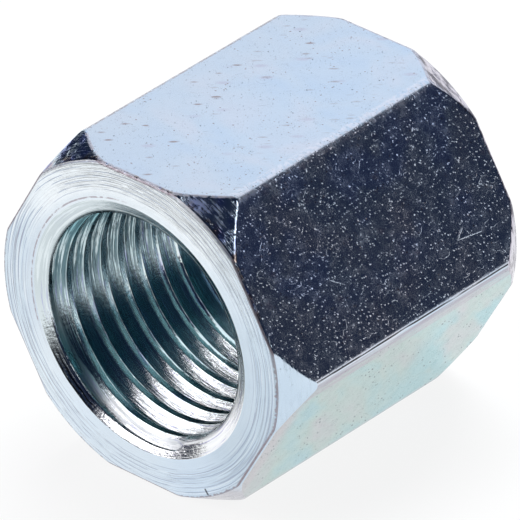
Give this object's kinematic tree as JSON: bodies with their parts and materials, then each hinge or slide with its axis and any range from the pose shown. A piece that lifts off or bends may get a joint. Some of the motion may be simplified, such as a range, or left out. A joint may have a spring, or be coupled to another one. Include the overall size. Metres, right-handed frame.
{
  "type": "coupling nut",
  "caption": "Short hexagonal coupling nut with chamfered corners, threaded right through and countersunk at both ends.",
  "frame": {"origin": "centre of the bore, half way along the nut", "axes": "+Y along the bore, +Z square to the uppermost flat, +X towards a corner"},
  "size_m": [0.024, 0.0216, 0.021],
  "materials": {
    "zinc_plate": "bright zinc plate with a clear blue passivate over machined steel"
  },
  "bodies": {
    "root": {"coupling_nut": "zinc_plate"}
  },
  "joints": []
}
